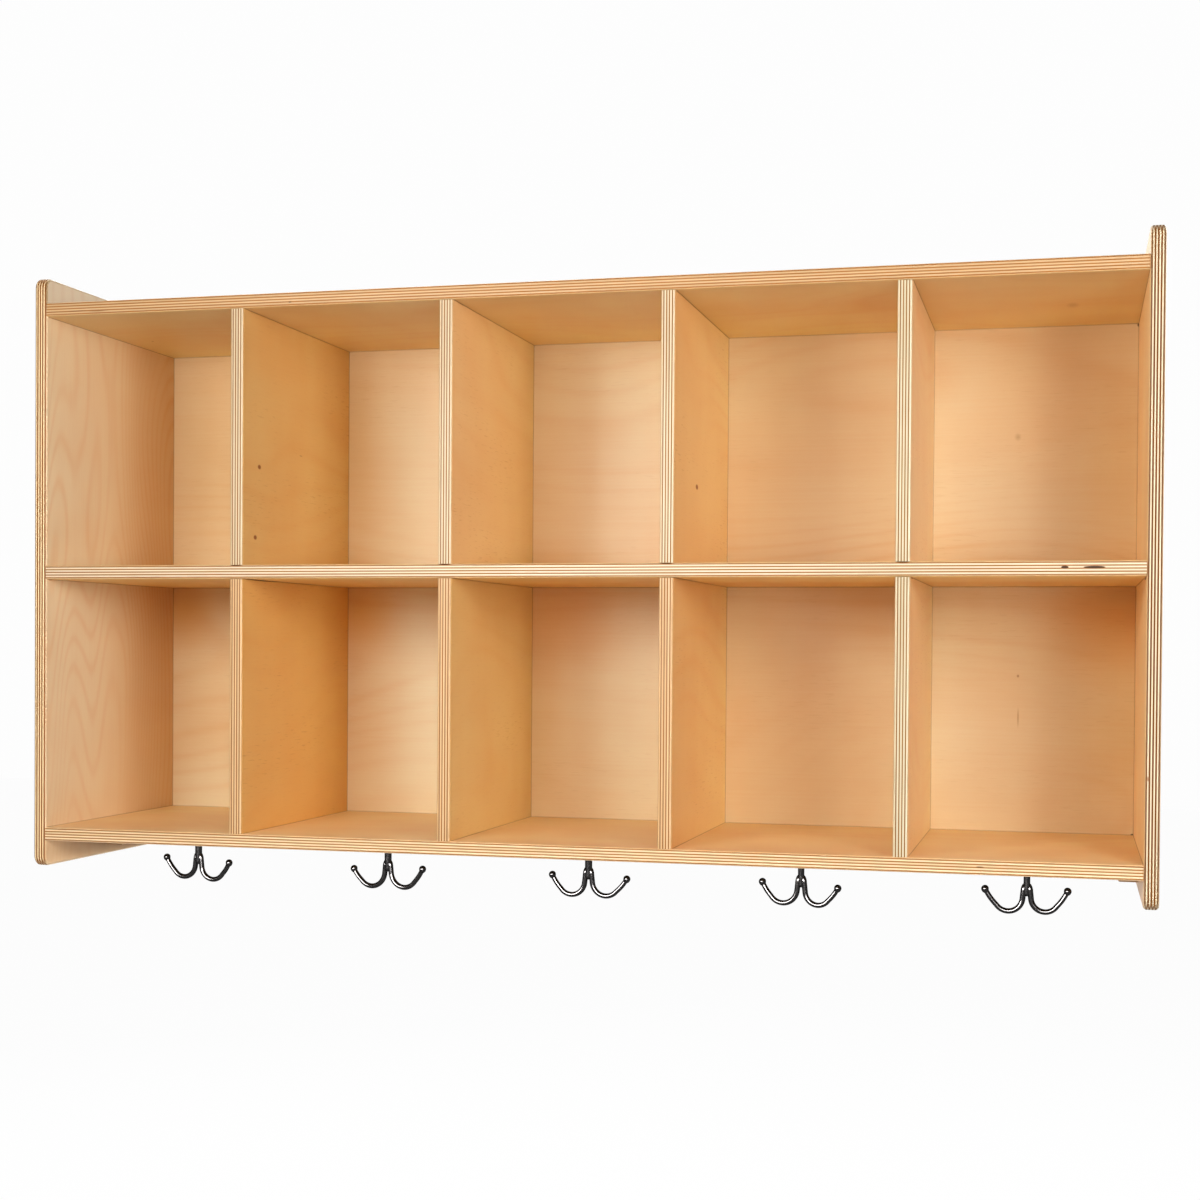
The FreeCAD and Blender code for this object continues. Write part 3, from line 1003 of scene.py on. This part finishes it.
FIRST_DIVIDER_MARKS: Marks = (
    Mark((FIRST_FACE, -0.2658, 0.1183), (0.002, 0.0055, 0.0034), 1.0, 0.6, PIN_KNOT),
    Mark((FIRST_FACE, -0.2758, 0.0393), (0.002, 0.0055, 0.0034), 1.0, 0.6, PIN_KNOT),
    Mark((FIRST_FACE, -0.1527, 0.1422), (0.002, 0.0060, 0.0011), 0.5, 0.8, PIN_KNOT),
)
THIRD_DIVIDER_MARKS: Marks = (
    Mark((THIRD_FACE, -0.1894, 0.0953), (0.002, 0.0080, 0.0036), 1.0, 0.5, PIN_KNOT),
)
BACK_KNOTS_AND_PAINTED_LIGHT: Marks = (
    # Broad areas of painted light and shade in the bays: painted shade under the shelves and beside the
    # walls, painted light where the bays are lit.
    painted_light_patch((-0.530, 0.150), (0.12, 0.20), PaintedTone.WARM_SHADE, 0.55),
    painted_light_patch((-0.360, 0.170), (0.07, 0.22), PaintedTone.WARM_SHADE),
    painted_light_patch((-0.260, 0.150), (0.08, 0.26), PaintedTone.PALE_LIGHT, 0.65),
    painted_light_patch((0.020, 0.130), (0.12, 0.26), PaintedTone.PALE_LIGHT),
    painted_light_patch((0.385, 0.170), (0.10, 0.20), PaintedTone.PALE_LIGHT, 0.55),
    painted_light_patch((0.460, 0.070), (0.14, 0.15), PaintedTone.DULL_SHADE),
    painted_light_patch((0.590, 0.140), (0.11, 0.24), PaintedTone.WARM_SHADE, 0.75),
    painted_light_patch((-0.585, -0.030), (0.08, 0.08), PaintedTone.DEEP_SHADE),
    painted_light_patch((-0.540, -0.280), (0.10, 0.10), PaintedTone.PALE_LIGHT),
    painted_light_patch((-0.345, -0.030), (0.09, 0.09), PaintedTone.DEEP_SHADE, 0.95),
    painted_light_patch((-0.245, -0.160), (0.11, 0.23), PaintedTone.CREAM_LIGHT, 0.95),
    painted_light_patch((-0.085, -0.035), (0.15, 0.10), PaintedTone.DEEP_SHADE, 0.65),
    painted_light_patch((-0.115, -0.180), (0.06, 0.20), PaintedTone.WARM_SHADE, 0.6),
    painted_light_patch((0.020, -0.170), (0.12, 0.24), PaintedTone.PALE_LIGHT, 1.0),
    painted_light_patch((0.300, -0.030), (0.09, 0.08), PaintedTone.DEEP_SHADE, 0.35),
    painted_light_patch((0.375, -0.170), (0.10, 0.20), PaintedTone.PALE_LIGHT, 0.5),
    painted_light_patch((0.590, -0.040), (0.14, 0.11), PaintedTone.DEEP_SHADE),
    painted_light_patch((0.450, -0.200), (0.14, 0.17), PaintedTone.DULL_SHADE),
    painted_light_patch((0.595, -0.170), (0.09, 0.20), PaintedTone.WARM_SHADE),
    Mark((0.4633, BACK_FACE, 0.1631), (0.0050, 0.002, 0.0060), 0.3, 1.0, PIN_KNOT),
    Mark((0.4660, BACK_FACE, -0.1095), (0.0020, 0.002, 0.0024), 0.6, 0.8, PIN_KNOT),
    Mark((0.4665, BACK_FACE, -0.1569), (0.0014, 0.002, 0.0150), 0.45, 0.9, PIN_KNOT),
    # Painted shade in two corner gaps.
    Mark((0.5944, BACK_FACE, 0.2856), (0.0022, 0.002, 0.0022), 0.8, 0.5, GAP_SHADE),
    Mark((0.5930, BACK_FACE, -0.2872), (0.0022, 0.002, 0.0018), 0.8, 0.5, GAP_SHADE),
)

LEFT_EDGES = {"edge": seen(240, 212, 166), "end": seen(136, 80, 30), "cross": 0.52}
RIGHT_EDGES = {"edge": seen(222, 206, 172), "end": seen(112, 66, 26), "cross": 0.54}
TOP_EDGES = {"edge": seen(196, 160, 117), "end": seen(156, 102, 50), "cross": 0.40}
MIDDLE_EDGES = {"edge": seen(219, 198, 169), "end": seen(150, 100, 48), "cross": 0.42}
BOTTOM_EDGES = {"edge": seen(229, 200, 160), "end": seen(160, 106, 52), "cross": 0.42}
UPPER_EDGES = {"edge": seen(210, 189, 155), "end": seen(131, 84, 30), "cross": 0.62}
LOWER_EDGES = {"edge": seen(213, 176, 131), "end": seen(134, 83, 30), "cross": 0.62}
PALE_EDGES = {"edge": seen(210, 197, 165), "end": seen(132, 89, 38), "cross": 0.62}


def divider(node: str, tint: Triple, rear_painted_light: Triple, edges: dict, marks: Marks = ()) -> Board:
    """Returns a divider, whose grain runs to the wall and whose faces are flecked."""
    return Board(node, Lay.DIVIDER, Cut.FLECKED, tint, rear_painted_light, marks=marks, **edges)


BOARDS: tuple[Board, ...] = (
    Board(
        "left_side_panel", Lay.SIDE, Cut.CATHEDRAL,
        (1.05, 1.15, 1.25), (0.95, 0.90, 0.75), marks=LEFT_PAINTED_LIGHT, **LEFT_EDGES,
    ),
    Board("right_side_panel", Lay.SIDE, Cut.CATHEDRAL, (1.10, 1.10, 0.95), marks=RIGHT_KNOT_AND_GAP_SHADE, **RIGHT_EDGES),
    Board(
        "top_shelf", Lay.SHELF, Cut.MOTTLED,
        (0.85, 0.80, 0.60), (1.15, 1.30, 1.00), marks=TOP_STREAKS_KNOTS_AND_SHADE, **TOP_EDGES,
    ),
    Board("middle_shelf", Lay.SHELF, Cut.MOTTLED, (1.05, 1.00, 0.65), marks=MIDDLE_PAINTED_SHADE, **MIDDLE_EDGES),
    Board(
        "bottom_shelf", Lay.SHELF, Cut.MOTTLED,
        (1.05, 1.00, 0.85), (1.10, 1.15, 0.90), marks=BOTTOM_GAP_SHADE, **BOTTOM_EDGES,
    ),
    divider("upper_divider_1", (0.90, 0.80, 0.50), (1.00, 0.95, 0.55), UPPER_EDGES, FIRST_DIVIDER_MARKS),
    divider("upper_divider_2", (1.05, 0.95, 0.75), (1.00, 1.05, 0.75), UPPER_EDGES),
    divider("upper_divider_3", (1.00, 0.85, 0.60), (1.10, 1.15, 0.85), UPPER_EDGES, THIRD_DIVIDER_MARKS),
    divider("upper_divider_4", (1.05, 1.05, 1.00), (1.10, 1.20, 1.15), PALE_EDGES),
    divider("lower_divider_1", (0.95, 0.75, 0.40), (1.00, 0.80, 0.35), LOWER_EDGES, LOWER_FIRST_GAP_SHADE),
    divider("lower_divider_2", (0.95, 0.85, 0.55), (0.95, 0.95, 0.60), LOWER_EDGES),
    divider("lower_divider_3", (0.95, 0.80, 0.55), (1.10, 1.15, 0.80), LOWER_EDGES),
    divider("lower_divider_4", (1.05, 0.95, 0.80), (1.10, 1.25, 1.10), PALE_EDGES, LOWER_LAST_GAP_SHADE),
    Board("back_panel", Lay.BACK, Cut.BROAD, (0.95, 1.00, 0.95), marks=BACK_KNOTS_AND_PAINTED_LIGHT),
    Board("upper_hanging_rail", Lay.BACK, Cut.BROAD),
    Board("lower_hanging_rail", Lay.BACK, Cut.BROAD),
    Board("left_corner_cleat", Lay.CLEAT, Cut.BROAD),
    Board("right_corner_cleat", Lay.CLEAT, Cut.BROAD),
)

BLACK_NICKEL = PlatedMetal(seen(44, 43, 43), seen(54, 52, 51), 0.15, 0.06, seen(24, 24, 24))
ZINC = PlatedMetal(seen(190, 190, 184), seen(214, 213, 206), 0.34, 0.2)
TURNED_NODES = ("side_plugs", "divider_plugs", "shelf_dowels", "divider_dowels")
SCREW_NODES = ("side_screws", "divider_screws", "back_screws", "rail_screws", "cleat_screws", "hook_screws")


def paint(node: str, finish: bpy.types.Material) -> None:
    """Gives a CAD node a finish in all of its material slots."""
    for holder in frame["nodes"][node].material_slots:
        holder.material = finish
    log.info("finish %s on %s", finish.name, node)


@dataclass(frozen=True)
class Lamp:
    """A soft light that points at a place.

    Attributes:
        name: its name.
        place: where it hangs, in metres.
        size: its side.
        power: its power in watts.
        aim: where it points, which is the middle of the case if nothing else is given.
        height: its height where it isn't square.
        glint: whether it only shows as a reflection in the hooks.
    """

    name: str
    place: Triple
    size: float
    power: float
    aim: Triple = (0.05, -0.15, 0.0)
    height: float = 0.0
    glint: bool = False

    def hang(self) -> None:
        """Adds the light to the scene."""
        light = bpy.data.lights.new(self.name, "AREA")
        light.shape = "RECTANGLE"
        light.size = self.size
        light.size_y = self.height or self.size
        light.energy = self.power
        holder = placed(self.name, light)
        holder.location = self.place
        holder.rotation_euler = (Vector(self.aim) - Vector(self.place)).to_track_quat("-Z", "Y").to_euler()
        if self.glint:
            metal = bpy.data.collections.new("hook_metal")
            for piece in bpy.context.scene.objects:
                if piece.type == "MESH" and piece.name.startswith("hook_"):
                    metal.objects.link(piece)
            holder.light_linking.receiver_collection = metal


@dataclass
class Studio:
    """White surroundings, a pale floor, soft lights and the camera.

    Attributes:
        floor_height: height of the floor, in metres.
        lamps: the soft lights.
        camera_place: the camera's place.
        camera_turn: rotation vector of the camera's axes away from looking straight at the wall.
        picture_width: width of the photograph, in its own pixels.
        focal_length: focal length in those pixels.
        rise: how far the picture is shifted up, in those pixels.
    """

    floor_height: float = -1.25
    lamps: tuple[Lamp, ...] = (
        Lamp("left_side", (-0.7, -1.8, 0.3), 0.45, 9.5),
        Lamp("left_front", (-0.3, -1.45, 0.2), 0.35, 5.0),
        Lamp("left_inner", (-0.1, -1.45, 0.04), 0.4, 3.0),
        Lamp("right_side", (1.2, -1.8, 0.05), 0.45, 7.5),
        Lamp("right_low", (0.95, -1.45, -0.05), 0.35, 4.0),
        Lamp("right_front", (1.15, -1.45, 0.31), 0.4, 4.5),
        Lamp("right_inner", (0.95, -1.8, 0.46), 0.5, 6.0),
        Lamp("right_high", (1.4, -1.45, 0.75), 0.35, 1.5),
        Lamp("overhead", (0.3, -3.0, 1.6), 1.4, 7.5),
        Lamp("hook_glint", (-0.45, -1.9, -0.04), 2.2, 480.0, (0.0, -0.15, -0.34), 0.55, True),
        Lamp("above", (-0.6, 0.35, 1.7), 1.0, 16.0, (-0.1, -0.1, 0.3)),
        Lamp("behind_left", (-1.6, 2.3, 0.9), 1.6, 60.0, (0.0, 0.0, 0.0)),
        Lamp("behind_right", (1.6, 2.3, 0.9), 1.6, 60.0, (0.0, 0.0, 0.0)),
    )
    camera_place: Triple = (0.5246, -2.1451, -0.0809)
    camera_turn: Triple = (0.0136, 0.2524, 0.00874)
    picture_width: float = 1200.0
    focal_length: float = 1826.5
    rise: float = 74.7

    def build(self) -> None:
        """Sets up everything round the object."""
        self._world()
        self._floor()
        for lamp in self.lamps:
            lamp.hang()
        self._camera()
        bpy.context.scene.view_settings.view_transform = "Standard"

    def _world(self) -> None:
        """Surroundings that are white to the camera, in metal and through glass, and give no light."""
        world = bpy.data.worlds.new("white_room")
        bpy.context.scene.world = world
        graph = ShaderGraph(world)
        unlit = graph.add("ShaderNodeBackground", {"Strength": 0.0})
        white = graph.add("ShaderNodeBackground", {"Color": (0.985, 0.985, 0.985, 1.0)})
        graph.two_way("ShaderNodeOutputWorld", 1.0, unlit, white)

    def _floor(self, half: float = 12.0) -> None:
        """Pale floor that is almost white to the camera and keeps a trace of the shadow."""
        graph = ShaderGraph.of_material("pale_floor")
        shade = graph.add("ShaderNodeBsdfDiffuse", {"Color": (0.86, 0.86, 0.86, 1.0)})
        glow = graph.add("ShaderNodeEmission", {"Color": (1.0, 1.0, 1.0, 1.0)})
        graph.two_way("ShaderNodeOutputMaterial", 0.975, shade, glow)
        corners = np.array([(-half, -half), (half, -half), (half, half), (-half, half)])
        points = np.column_stack([corners, np.full(4, self.floor_height)])
        mesh = bpy.data.meshes.new("floor")
        mesh.from_pydata(points.tolist(), [], [(0, 1, 2, 3)])
        mesh.materials.append(graph.owner)
        placed("floor", mesh)

    def _camera(self) -> None:
        """Camera with the photograph's perspective, worked out from the straight edges of the case."""
        data = bpy.data.cameras.new("camera")
        data.sensor_width = 36.0
        data.lens = self.focal_length / self.picture_width * data.sensor_width
        data.shift_y = self.rise / self.picture_width
        data.clip_end = 100.0
        turn = Vector(self.camera_turn)
        tilt = Matrix.Rotation(turn.length, 3, turn.normalized())
        facing_wall = Matrix(((1, 0, 0), (0, 0, -1), (0, 1, 0)))
        right, down, ahead = (tilt @ facing_wall).row
        axes = Matrix((right, -down, -ahead)).transposed()
        holder = placed("camera", data)
        holder.matrix_world = Matrix.Translation(self.camera_place) @ axes.to_4x4()
        bpy.context.scene.camera = holder


def main() -> None:
    """Dresses the case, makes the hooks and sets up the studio."""
    logging.basicConfig(level=logging.INFO, format="%(name)s: %(message)s")
    Case(BirchPlywood(), BOARDS).dress()
    nickel = BLACK_NICKEL.material("black_nickel")
    zinc = ZINC.material("zinc_screw")
    for node in SCREW_NODES:
        paint(node, zinc)
    paint("hook_plates", nickel)
    for hook in HOOKS:
        piece = hook.build(nickel)
        log.info("made %s with %d faces", piece.name, len(piece.data.polygons))
    Studio().build()


if __name__ == "__main__":
    main()
